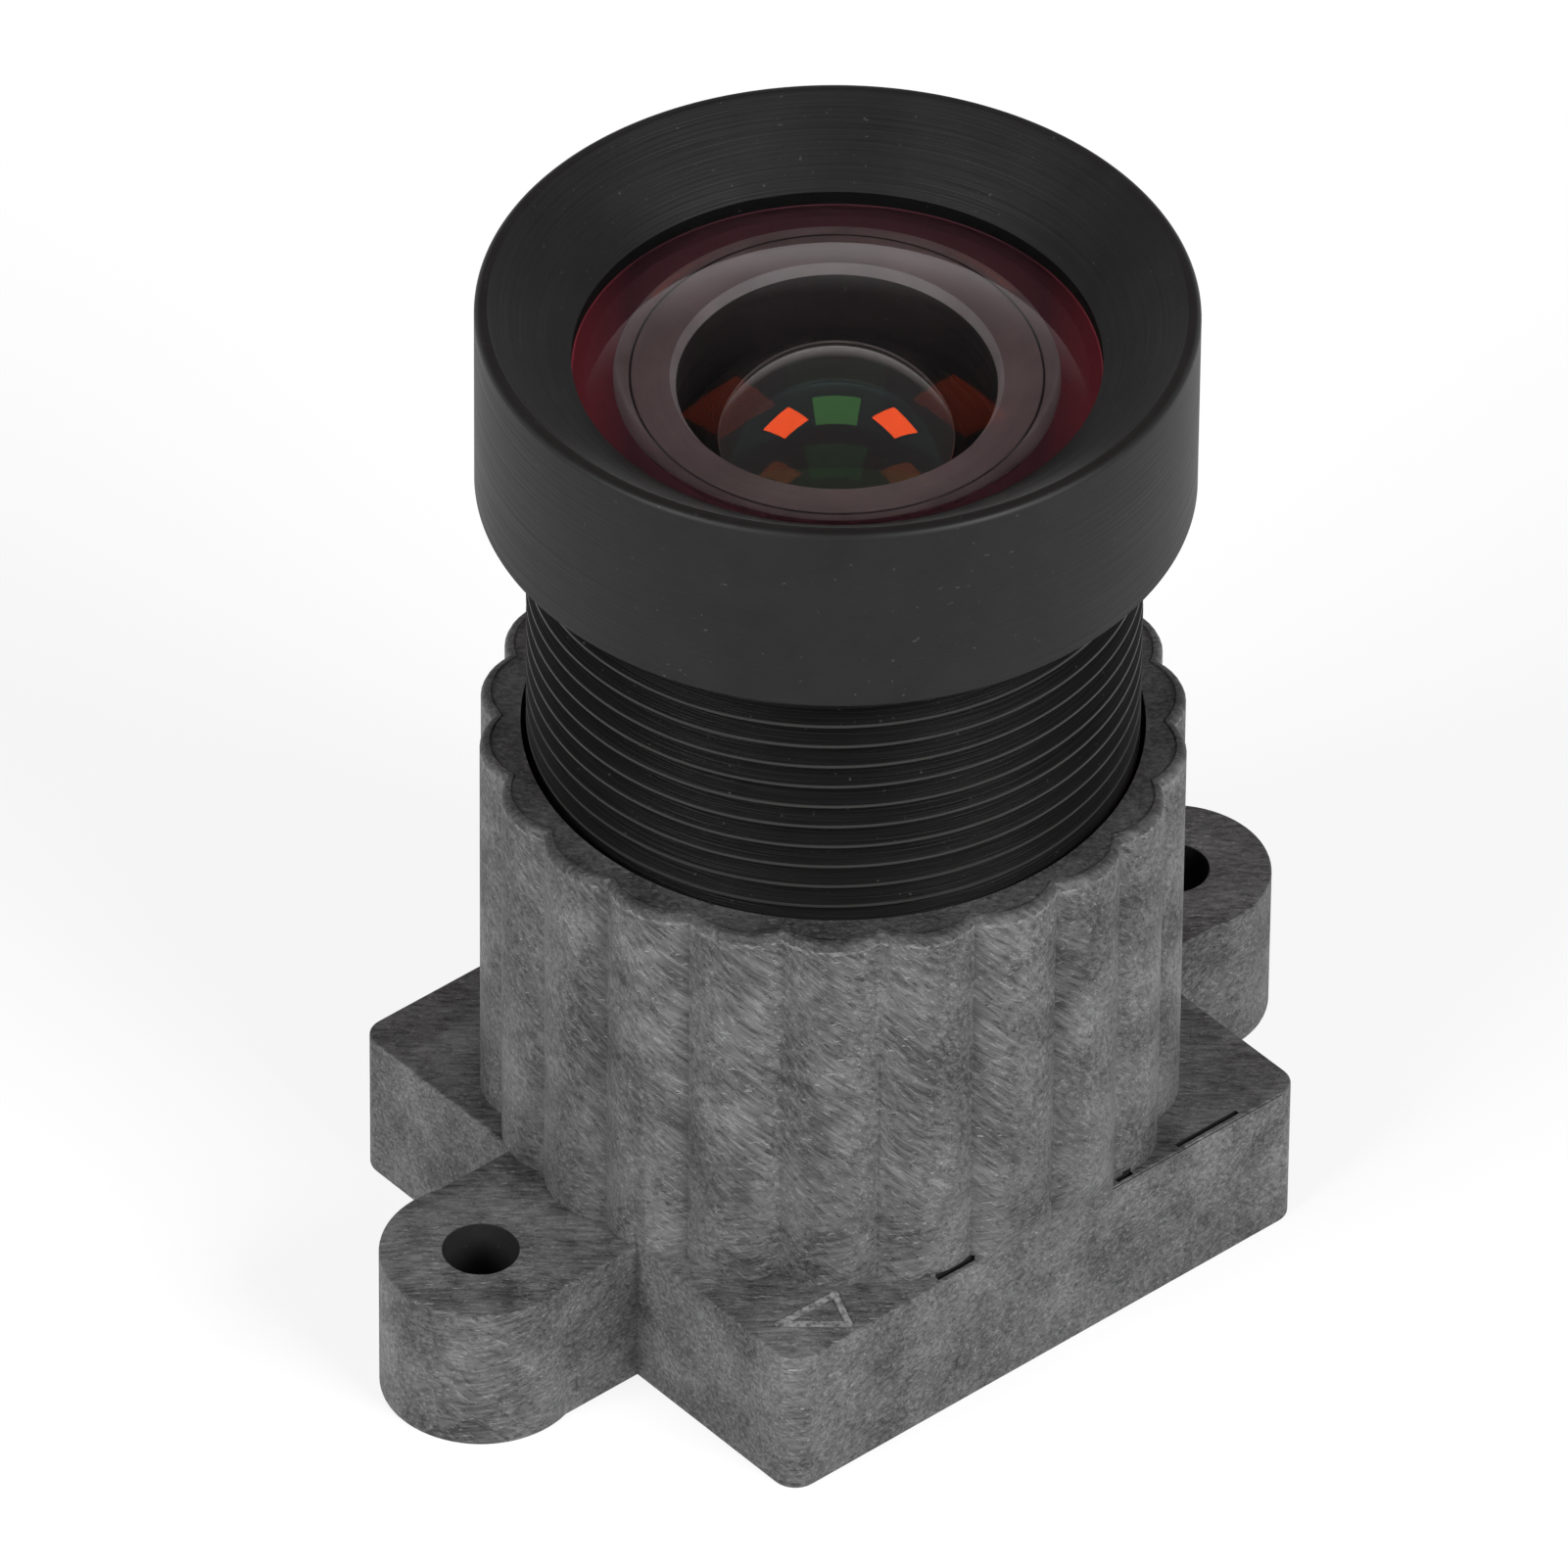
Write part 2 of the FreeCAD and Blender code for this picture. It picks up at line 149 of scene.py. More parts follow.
class Finishes(bpy.types.PropertyGroup):
    plastic_dark: colour("Plastic, dark", "Darkest grey of the fibre-filled plastic", (0.018, 0.018, 0.0185))
    plastic_pale: colour("Plastic, pale", "Palest grey of the fibre-filled plastic", (0.166, 0.166, 0.168))
    metal_black: colour("Black metal", "Colour of the black anodised metal", (0.0062, 0.0062, 0.0064))
    thread_black: colour("Thread black", "Colour of the thread's grooves", (0.003, 0.003, 0.0031))
    # The thread crest colour is painted on the thread's crests, paler than its grooves
    thread_crest: colour("Thread crest", "Colour of the worn crests", (0.022, 0.022, 0.021))
    # The glass edge colour is dark paint with the coating's red reflection painted into it; the glow colour is
    # painted reflection of the side softboxes
    glass_edge: colour("Glass edge", "Paint on the front glass's rear land", (0.060, 0.016, 0.024))
    glass_edge_painted_reflection: colour(
        "Glass edge glow", "Colour of that paint where side light reaches it", (0.20, 0.028, 0.040))
    spacer_grey: colour("Spacer grey", "Colour of the ring behind the front glass", (0.115, 0.080, 0.085))


class StudioSizes(bpy.types.PropertyGroup):
    azimuth: angle("Azimuth", "Direction that the camera looks from, about the axis", -40.956)
    elevation: angle("Elevation", "Height of the camera's direction", 39.761)
    roll: angle("Roll", "Turn of the camera about its own line of sight", 0.523)
    distance: length("Distance", "Distance from the camera to the aim point", 450.0)
    aim_height: length("Aim height", "Height of the aim point on the axis", 11.0)
    aim_right: length("Aim right", "Shift of the camera to the left of the aim point", 0.955)
    aim_up: length("Aim up", "Shift of the camera below the aim point", 0.495)
    lens_mm: FloatProperty(name="Lens", description="Focal length in millimetres on a 36 mm sensor",
                           default=528.65)


# Small tools shared by the operators


def activate(piece):
    bpy.ops.object.select_all(action="DESELECT")
    piece.select_set(True)
    bpy.context.view_layer.objects.active = piece


def start_vertex(name, place):
    """A new mesh in edit mode that holds one selected vertex at the place, ready to be extruded."""
    bpy.ops.object.select_all(action="DESELECT")
    bpy.ops.mesh.primitive_plane_add(size=MM, location=place)
    piece = bpy.context.object
    piece.name = name
    settle(piece)
    enter_edit()
    bpy.ops.mesh.select_mode(type="VERT")
    bpy.ops.mesh.select_all(action="SELECT")
    bpy.ops.mesh.merge(type="CENTER")
    return piece


def extrude_path(path):
    for here, there in zip(path, path[1:]):
        bpy.ops.mesh.extrude_region_move(TRANSFORM_OT_translate={"value": Vector(there) - Vector(here)})


def merge_doubles():
    bpy.ops.mesh.select_all(action="SELECT")
    bpy.ops.mesh.remove_doubles(threshold=MERGE_GAP)


def enter_edit():
    bpy.ops.object.mode_set(mode="EDIT")


def leave_edit():
    bpy.ops.object.mode_set(mode="OBJECT")


def finish_mesh(piece):
    """Merges doubles, turns the faces outward, leaves edit mode and settles the piece."""
    merge_doubles()
    bpy.ops.mesh.normals_make_consistent(inside=False)
    leave_edit()
    settle(piece)


def settle(piece):
    """Brings a piece's place into its mesh, so that its object sits at the origin."""
    activate(piece)
    bpy.ops.object.transform_apply(location=True, rotation=True, scale=True)


def smooth(piece, degrees):
    activate(piece)
    bpy.ops.object.shade_smooth_by_angle(angle=math.radians(degrees))


def turned_piece(name, profile, steps):
    """A piece turned about the optical axis from (radius, height) points."""
    path = [Vector((r, 0, z)) for r, z in profile]
    piece = start_vertex(name, path[0])
    extrude_path(path)
    bpy.ops.mesh.select_all(action="SELECT")
    bpy.ops.mesh.spin(steps=steps, angle=FULL_TURN, center=(0, 0, 0), axis=AXIS)
    finish_mesh(piece)
    return piece


def closed(points):
    return points + points[:1]


def arc_points(centre, radius, start, end, steps):
    """(radius, height) points along an arc of a profile, angles in radians from the outward direction."""
    points = []
    for step in range(steps + 1):
        turn = start + (end - start) * step / steps
        points.append((centre[0] + radius * math.cos(turn), centre[1] + radius * math.sin(turn)))
    return points


def dome_points(edge_r, edge_z, depth, steps=28):
    """Profile points of a spherical surface from its pole to its edge."""
    sphere_r = (edge_r ** 2 + depth ** 2) / (2 * abs(depth))
    spread = math.asin(edge_r / sphere_r)
    points = [(0, edge_z + depth)]
    for step in range(1, steps + 1):
        turn = spread * step / steps
        drop = math.copysign(sphere_r * (1 - math.cos(turn)), depth)
        points.append((sphere_r * math.sin(turn), edge_z + depth - drop))
    return points


def combine(piece, tool, operation):
    """Applies a Boolean of the tool to the piece, and removes the tool."""
    activate(piece)
    modifier = piece.modifiers.new("combine", "BOOLEAN")
    modifier.operation = operation
    modifier.solver = "MANIFOLD"
    modifier.object = tool
    bpy.ops.object.modifier_apply(modifier=modifier.name)
    bpy.data.objects.remove(tool)


def unit_vector(azimuth, elevation):
    """The unit vector towards an azimuth about the axis and an elevation, in radians."""
    level = Vector((math.sin(azimuth), -math.cos(azimuth), 0)) * math.cos(elevation)
    return level + Vector((0, 0, math.sin(elevation)))


def away(place):
    """Distance from the optical axis."""
    return math.hypot(place.x, place.y)


def select_edges(piece, test):
    """Selects, in edit mode, the edges whose two ends pass the test."""
    bpy.ops.mesh.select_mode(type="EDGE")
    bpy.ops.mesh.select_all(action="DESELECT")
    mesh = bmesh.from_edit_mesh(piece.data)
    place = piece.matrix_world
    for edge in mesh.edges:
        edge.select_set(test(place @ edge.verts[0].co, place @ edge.verts[1].co))
    mesh.select_flush_mode()
    bmesh.update_edit_mesh(piece.data)


def select_faces(piece, test):
    """Selects, in edit mode, the faces whose middle and normal pass the test."""
    bpy.ops.mesh.select_mode(type="FACE")
    bpy.ops.mesh.select_all(action="DESELECT")
    mesh = bmesh.from_edit_mesh(piece.data)
    place = piece.matrix_world
    for face in mesh.faces:
        face.select_set(test(place @ face.calc_center_median(), face.normal))
    bmesh.update_edit_mesh(piece.data)


def block(name, size, middle):
    """A box primitive in edit mode, scaled to its size."""
    bpy.ops.object.select_all(action="DESELECT")
    bpy.ops.mesh.primitive_cube_add(size=1, location=middle, scale=size)
    piece = bpy.context.object
    piece.name = name
    settle(piece)
    enter_edit()
    return piece


def rounded_block(name, size, middle, corner, edge=0.0):
    """A box with round upright corners and, where edge is given, small rounds along its other edges."""
    piece = block(name, size, middle)
    select_edges(piece, lambda a, b: abs(a.z - b.z) > size[2] / 2)
    bpy.ops.mesh.bevel(offset=corner, segments=8, affect="EDGES")
    if edge:
        select_edges(piece, lambda a, b: abs(a.z - b.z) < MERGE_GAP and abs(a.z - middle[2]) > size[2] / 3)
        bpy.ops.mesh.bevel(offset=edge, segments=3, affect="EDGES")
    finish_mesh(piece)
    return piece


def ride_and_replace(piece, body, node):
    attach(piece, body)
    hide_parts(node)


def paint(piece, slot_number, test):
    """Gives the material in the slot to the faces whose middle and normal pass the test."""
    activate(piece)
    enter_edit()
    select_faces(piece, test)
    piece.active_material_index = slot_number
    bpy.ops.object.material_slot_assign()
    leave_edit()


def wear(piece, *materials):
    piece.data.materials.clear()
    for material in materials:
        piece.data.materials.append(material)


# Shader tools


def add_node(tree, kind, x, y, **settings):
    node = tree.nodes.new(kind)
    node.location = (x, y)
    for key, value in settings.items():
        setattr(node, key, value)
    return node


def feed(tree, socket, value):
    """Links the socket to another one, or sets its value."""
    if hasattr(value, "is_output"):
        tree.links.new(value, socket)
    elif value is not None:
        socket.default_value = value


def fill(tree, node, values):
    """Feeds the sockets of a node, by their names or numbers."""
    for label, value in values.items():
        feed(tree, node.inputs[label], value)
    return node


def maths(tree, operation, first, second, x, y, clamp=False):
    """A Math node. first and second are sockets or numbers."""
    node = add_node(tree, "ShaderNodeMath", x, y, operation=operation, use_clamp=clamp)
    return fill(tree, node, {0: first, 1: second}).outputs[0]


def plus(tree, first, second, weight, x, y):
    """first + second * weight."""
    return maths(tree, "ADD", first, maths(tree, "MULTIPLY", second, weight, x, y), x + 180, y)


def distance_from(tree, value, level, x, y):
    """How far a value is from a level, above or below it."""
    return maths(tree, "ABSOLUTE", maths(tree, "SUBTRACT", value, level, x, y), None, x + 180, y)


def vector_maths(tree, operation, first, second, x, y):
    """A Vector Math node. second is a socket, a vector or, to scale, a number."""
    node = add_node(tree, "ShaderNodeVectorMath", x, y, operation=operation)
    fill(tree, node, {0: first, "Scale" if operation == "SCALE" else 1: second})
    return node.outputs["Value" if operation in ("DOT_PRODUCT", "LENGTH") else "Vector"]


def mixed(tree, factor, first, second, x, y):
    """A colour mixed from the first to the second, which are sockets or colours of four values."""
    node = add_node(tree, "ShaderNodeMix", x, y, data_type="RGBA")
    return fill(tree, node, {"Factor": factor, 6: first, 7: second}).outputs[2]


def seen_directly(tree, x, y):
    """1 for camera, glossy and transmission rays, 0 for the light that falls on matt surfaces."""
    rays = add_node(tree, "ShaderNodeLightPath", x, y).outputs
    seen = maths(tree, "MAXIMUM", rays["Is Camera Ray"], rays["Is Glossy Ray"], x + 200, y)
    return maths(tree, "MAXIMUM", seen, rays["Is Transmission Ray"], x + 380, y)


def mapped(tree, value, low, high, to_low, to_high, x, y):
    """The value, mapped from low and high to two other values and held between those."""
    node = add_node(tree, "ShaderNodeMapRange", x, y, clamp=True)
    fill(tree, node, {"Value": value, "From Min": low, "From Max": high, "To Min": to_low, "To Max": to_high})
    return node.outputs["Result"]


def new_group(name, inputs, outputs):
    """An empty node group. inputs are (name, default) of float sockets, outputs are names."""
    tree = bpy.data.node_groups.new(name, "ShaderNodeTree")
    for label, default in inputs:
        socket = tree.interface.new_socket(name=label, in_out="INPUT", socket_type="NodeSocketFloat")
        socket.default_value = default
    for label in outputs:
        tree.interface.new_socket(name=label, in_out="OUTPUT", socket_type="NodeSocketFloat")
    return tree, add_node(tree, "NodeGroupInput", -1600, 0), add_node(tree, "NodeGroupOutput", 900, 0)


def millimetre_place(tree, x, y):
    """Object coordinates in millimetres."""
    coordinates = add_node(tree, "ShaderNodeTexCoord", x, y)
    return vector_maths(tree, "SCALE", coordinates.outputs["Object"], 1 / MM, x + 180, y)


def noise(tree, vector, scale, detail, roughness, x, y, output="Fac"):
    node = add_node(tree, "ShaderNodeTexNoise", x, y)
    fill(tree, node, {"Vector": vector, "Scale": scale, "Detail": detail, "Roughness": roughness})
    return node.outputs[output]


def streaky_noise(tree, vector, direction, along, across, detail, roughness, y):
    """Noise in streaks that lie along a direction, with its scales along and across that direction."""
    first = Vector(direction).normalized()
    second = first.cross(Vector(AXIS)).normalized()
    third = first.cross(second)
    joined = add_node(tree, "ShaderNodeCombineXYZ", -540, y)
    for number, axis in enumerate((first * along, second * across, third * across)):
        measured = vector_maths(tree, "DOT_PRODUCT", vector, axis, -900, y - 150 * number)
        feed(tree, joined.inputs[number], measured)
    return noise(tree, joined.outputs["Vector"], 1.0, detail, roughness, -300, y)


def fibre_swirl_group():
    """Short fibres in drifting directions: a tone from 0 to 1, pale flecks, a height and a mask of painted shade
    on level faces.
    """
    tree, inputs, outputs = new_group(
        "fibre_swirl", [("Drift", 1.0), ("Plate Top", 3.35), ("Barrel Top", 12.05)],
        ["Tone", "Flecks", "Height", "Shade"])
    place = millimetre_place(tree, -1900, 200)
    drift = noise(tree, place, 0.45, 2.0, 0.5, -1650, 0, "Color")
    centred = vector_maths(tree, "SUBTRACT", drift, (0.5, 0.5, 0.5), -1450, 0)
    shift = vector_maths(tree, "SCALE", centred, inputs.outputs["Drift"], -1280, 0)
    vector = vector_maths(tree, "ADD", place, shift, -1100, 100)
    falling = streaky_noise(tree, vector, FALLING_FIBRES, 1.1, 11.0, 5.0, 0.66, 300)
    level = streaky_noise(tree, vector, LEVEL_FIBRES, 1.4, 12.0, 5.0, 0.66, -150)
    lay = streaky_noise(tree, vector, FALLING_FIBRES, 1.1, 9.0, 1.5, 0.5, -900)
    grain = streaky_noise(tree, vector, LEVEL_FIBRES, 3.2, 17.0, 2.0, 0.5, -600)
    blotch = noise(tree, place, 0.7, 6.0, 0.62, -300, -300)
    parts = add_node(tree, "ShaderNodeSeparateXYZ", -1650, 500)
    tree.links.new(place, parts.inputs[0])
    height = parts.outputs["Z"]

    # Level fibres low down give way to falling ones higher up the barrel
    pick = mapped(tree, plus(tree, height, blotch, 6.0, -300, 450), 7.0, 9.5, 0, 1, -100, 150)
    fibres = add_node(tree, "ShaderNodeMix", 80, 200, data_type="FLOAT")
    fill(tree, fibres, {"Factor": pick, 2: level, 3: falling})
    streaks = mapped(tree, fibres.outputs[0], 0.28, 0.72, 0, 1, 260, 200)
    clouds = mapped(tree, blotch, 0.30, 0.70, 0, 1, 80, -300)
    body = plus(tree, maths(tree, "MULTIPLY", streaks, 0.5, 440, 200), clouds, 0.36, 440, -50)

    # Thin pale and dark hairs
    hairs = []
    for y, hair_level in ((-900, 0.44), (-1050, 0.55)):
        off = distance_from(tree, lay, hair_level, -100, y)
        hairs.append(mapped(tree, off, 0.0, 0.014, 0.34, 0, 260, y))
    hair = maths(tree, "SUBTRACT", *hairs, 620, -900)
    tone = maths(tree, "ADD", body, hair, 780, 100, clamp=True)
    relief = plus(tree, maths(tree, "MULTIPLY", streaks, 0.7, 440, -250), grain, 0.6, 440, -420)

    # Painted shade on the plate's top and on the barrel's frayed top edge, with the edge's pale burr just below
    off_plate = distance_from(tree, height, inputs.outputs["Plate Top"], -300, 800)
    plate_top = mapped(tree, off_plate, 0.015, 0.03, 1, 0, 80, 800)
    below_top = maths(tree, "SUBTRACT", inputs.outputs["Barrel Top"], height, -300, 650)
    frayed = plus(tree, below_top, grain, -0.22, -300, 950)
    off_burr = distance_from(tree, frayed, 0.09, -300, 1100)
    burr = maths(tree, "MULTIPLY", mapped(tree, off_burr, 0.0, 0.05, 1, 0, 80, 1100),
                 mapped(tree, lay, 0.42, 0.58, 0, 1, 80, 1250), 260, 1100)
    barrel_top_shade = mapped(tree, frayed, -0.02, 0.12, 0.55, 0, 80, 650)
    plate_shade = maths(tree, "MULTIPLY", plate_top, 0.06, 260, 800)
    fill(tree, outputs, {
        "Tone": tone,
        "Flecks": maths(tree, "MAXIMUM", mapped(tree, grain, 0.66, 0.74, 0, 1, 260, -550), burr, 440, 1000),
        "Height": relief,
        "Shade": maths(tree, "MAXIMUM", plate_shade, barrel_top_shade, 440, 700),
    })
    return tree


def turning_marks_group():
    """Fine rings left by a lathe tool round the optical axis, and a soft blotch over them."""
    tree, inputs, outputs = new_group(
        "turning_marks", [("Fineness", 18.0)], ["Marks", "Blotch", "Dust", "Radius"])
    place = millimetre_place(tree, -1500, 200)
    parts = add_node(tree, "ShaderNodeSeparateXYZ", -1250, 200)
    tree.links.new(place, parts.inputs[0])
    flat = vector_maths(tree, "MULTIPLY", place, (1, 1, 0), -1250, 0)
    radius = vector_maths(tree, "LENGTH", flat, None, -1080, 0)
    turn = maths(tree, "ARCTAN2", parts.outputs["Y"], parts.outputs["X"], -1080, -180)
    half_turn = maths(tree, "ABSOLUTE", turn, None, -900, -220)
    ring = add_node(tree, "ShaderNodeCombineXYZ", -700, 100)
    fine = inputs.outputs["Fineness"]
    scales = ((radius, fine), (parts.outputs["Z"], fine), (half_turn, 0.9))
    for number, (value, scale) in enumerate(scales):
        feed(tree, ring.inputs[number], maths(tree, "MULTIPLY", value, scale, -880, 100 - 160 * number))
    marks = noise(tree, ring.outputs["Vector"], 1.0, 3.0, 0.6, -450, 100)
    blotch = noise(tree, place, 0.8, 4.0, 0.6, -450, -200)
    dust = noise(tree, place, 9.0, 1.0, 0.4, -450, -450)
    fill(tree, outputs, {
        "Marks": mapped(tree, marks, 0.3, 0.7, 0, 1, -200, 100),
        "Blotch": mapped(tree, blotch, 0.3, 0.7, 0, 1, -200, -200),
        "Dust": mapped(tree, dust, 0.74, 0.80, 0, 1, -200, -450),
        "Radius": radius,
    })
    return tree


def shared_group(name, maker):
    return bpy.data.node_groups.get(name) or maker()


def new_material(name):
    material = bpy.data.materials.new(name)
    material.use_nodes = True
    shader = material.node_tree.nodes["Principled BSDF"]
    return material, material.node_tree, shader


def place_group(tree, group, x, y, **values):
    node = add_node(tree, "ShaderNodeGroup", x, y)
    node.node_tree = group
    for label, value in values.items():
        node.inputs[label.replace("_", " ")].default_value = value
    return node


def ramp(tree, value, stops, x, y):
    node = add_node(tree, "ShaderNodeValToRGB", x, y)
    tree.links.new(value, node.inputs["Fac"])
    elements = node.color_ramp.elements
    while len(elements) < len(stops):
        elements.new(0.5)
    for element, (position, shade) in zip(elements, stops):
        element.position = position
        element.color = (*shade, 1)
    return node.outputs["Color"]


def bump(tree, height, shader, distance, strength, x, y):
    node = add_node(tree, "ShaderNodeBump", x, y)
    fill(tree, node, {"Distance": distance, "Strength": strength, "Height": height})
    tree.links.new(node.outputs["Normal"], shader.inputs["Normal"])


def fibre_plastic():
    """The holder's grey plastic, with its fibres showing at the surface and painted shade that darkens its level
    faces.
    """
    finish = bpy.context.scene.lens_finishes
    sizes = bpy.context.scene.lens_holder_sizes
    material, tree, shader = new_material("fibre_plastic")
    swirl = place_group(tree, shared_group("fibre_swirl", fibre_swirl_group), -900, 100, Drift=0.4,
                        Plate_Top=sizes.plate_thickness / MM, Barrel_Top=HOLDER_HIGH.z / MM)
    dark, pale = Vector(finish.plastic_dark), Vector(finish.plastic_pale)
    stops = [(0.18, dark), (0.5, dark.lerp(pale, 0.42)), (0.86, pale)]
    tone = ramp(tree, swirl.outputs["Tone"], stops, -600, 200)
    flecks = maths(tree, "MULTIPLY", swirl.outputs["Flecks"], 0.4, -450, 0)
    flecked = mixed(tree, flecks, tone, (0.34, 0.34, 0.34, 1), -250, 200)
    # Painted shade: the plate's top and the barrel's top face are mixed towards near black
    shade = maths(tree, "MULTIPLY", swirl.outputs["Shade"], 0.78, -250, 420)
    fill(tree, shader, {
        "Base Color": mixed(tree, shade, flecked, (0.004, 0.004, 0.0045, 1), 0, 200),
        "Roughness": mapped(tree, swirl.outputs["Tone"], 0, 1, 0.66, 0.44, -250, -100),
        "Specular IOR Level": 0.3,
    })
    bump(tree, swirl.outputs["Height"], shader, 3e-5, 0.42, -250, -350)
    return material


def black_metal(name, base, roughness, fineness, depth, specular=0.3, crest=None):
    """Black metal with turning marks. crest is (radius, colour) of a thread's crests, which are given a paler
    colour.
    """
    material, tree, shader = new_material(name)
    group = shared_group("turning_marks", turning_marks_group)
    marks = place_group(tree, group, -800, 100, Fineness=fineness)
    base = Vector(base)
    tone = ramp(tree, marks.outputs["Blotch"], [(0, base * 0.8), (1, base * 1.25)], -500, 200)
    dust = maths(tree, "MULTIPLY", marks.outputs["Dust"], 0.2, -450, -50)
    shade = mixed(tree, dust, tone, (0.12, 0.12, 0.12, 1), -250, 200)
    if crest:
        crest_r = crest[0] / MM
        at_crest = mapped(tree, marks.outputs["Radius"], crest_r - 0.02, crest_r - 0.005, 0, 1, -250, 50)
        shade = mixed(tree, at_crest, shade, (*crest[1], 1), 0, 200)
    fill(tree, shader, {
        "Base Color": shade,
        "Roughness": mapped(tree, marks.outputs["Marks"], 0, 1, roughness - 0.05, roughness + 0.07, -250, -100),
        "Specular IOR Level": specular,
    })
    bump(tree, marks.outputs["Marks"], shader, depth, 0.5, -250, -350)
    return material


def edge_paint(base, glow):
    """The paint behind the front glass: a maroon that is partly painted reflection, the coating's red veil over
    dark paint, and painted reflections of the side softboxes that make it brighter towards the sides.
    """
    material, tree, shader = new_material("glass_edge_maroon_painted_reflection")
    place = millimetre_place(tree, -1100, 100)
    # Painted reflection of the side softboxes: the paint turns to the glow colour towards both ends of
    # SIDE_LIGHT
    sideways = vector_maths(tree, "DOT_PRODUCT", place, SIDE_LIGHT, -800, 100)
    reach = maths(tree, "ABSOLUTE", sideways, None, -620, 100)
    uneven = plus(tree, reach, noise(tree, place, 14.0, 3.0, 0.6, -800, -200), 0.35, -620, -200)
    lit = mapped(tree, uneven, 3.9, 4.9, 0, 1, -250, 100)
    fill(tree, shader, {
        "Base Color": ramp(tree, lit, [(0, base), (1, glow)], -50, 200),
        "Roughness": 0.5,
        "Specular IOR Level": 0.2,
    })
    return material


def coated_glass(name, ior, reflectance, tint, body=(1, 1, 1), hard_coat=None):
    """Clear optical glass with an anti-reflection coating that tints what it still reflects."""
    material, tree, shader = new_material(name)
    fill(tree, shader, {
        "Base Color": (*body, 1),
        "Transmission Weight": 1,
        "Roughness": 0.0,
        "IOR": ior,
        "Specular IOR Level": reflectance,
        "Specular Tint": (*tint, 1),
        "Coat Weight": 1.0 if hard_coat else 0.0,
        "Coat IOR": hard_coat or 1.5,
        "Coat Roughness": 0.0,
    })
    return material


# The pieces


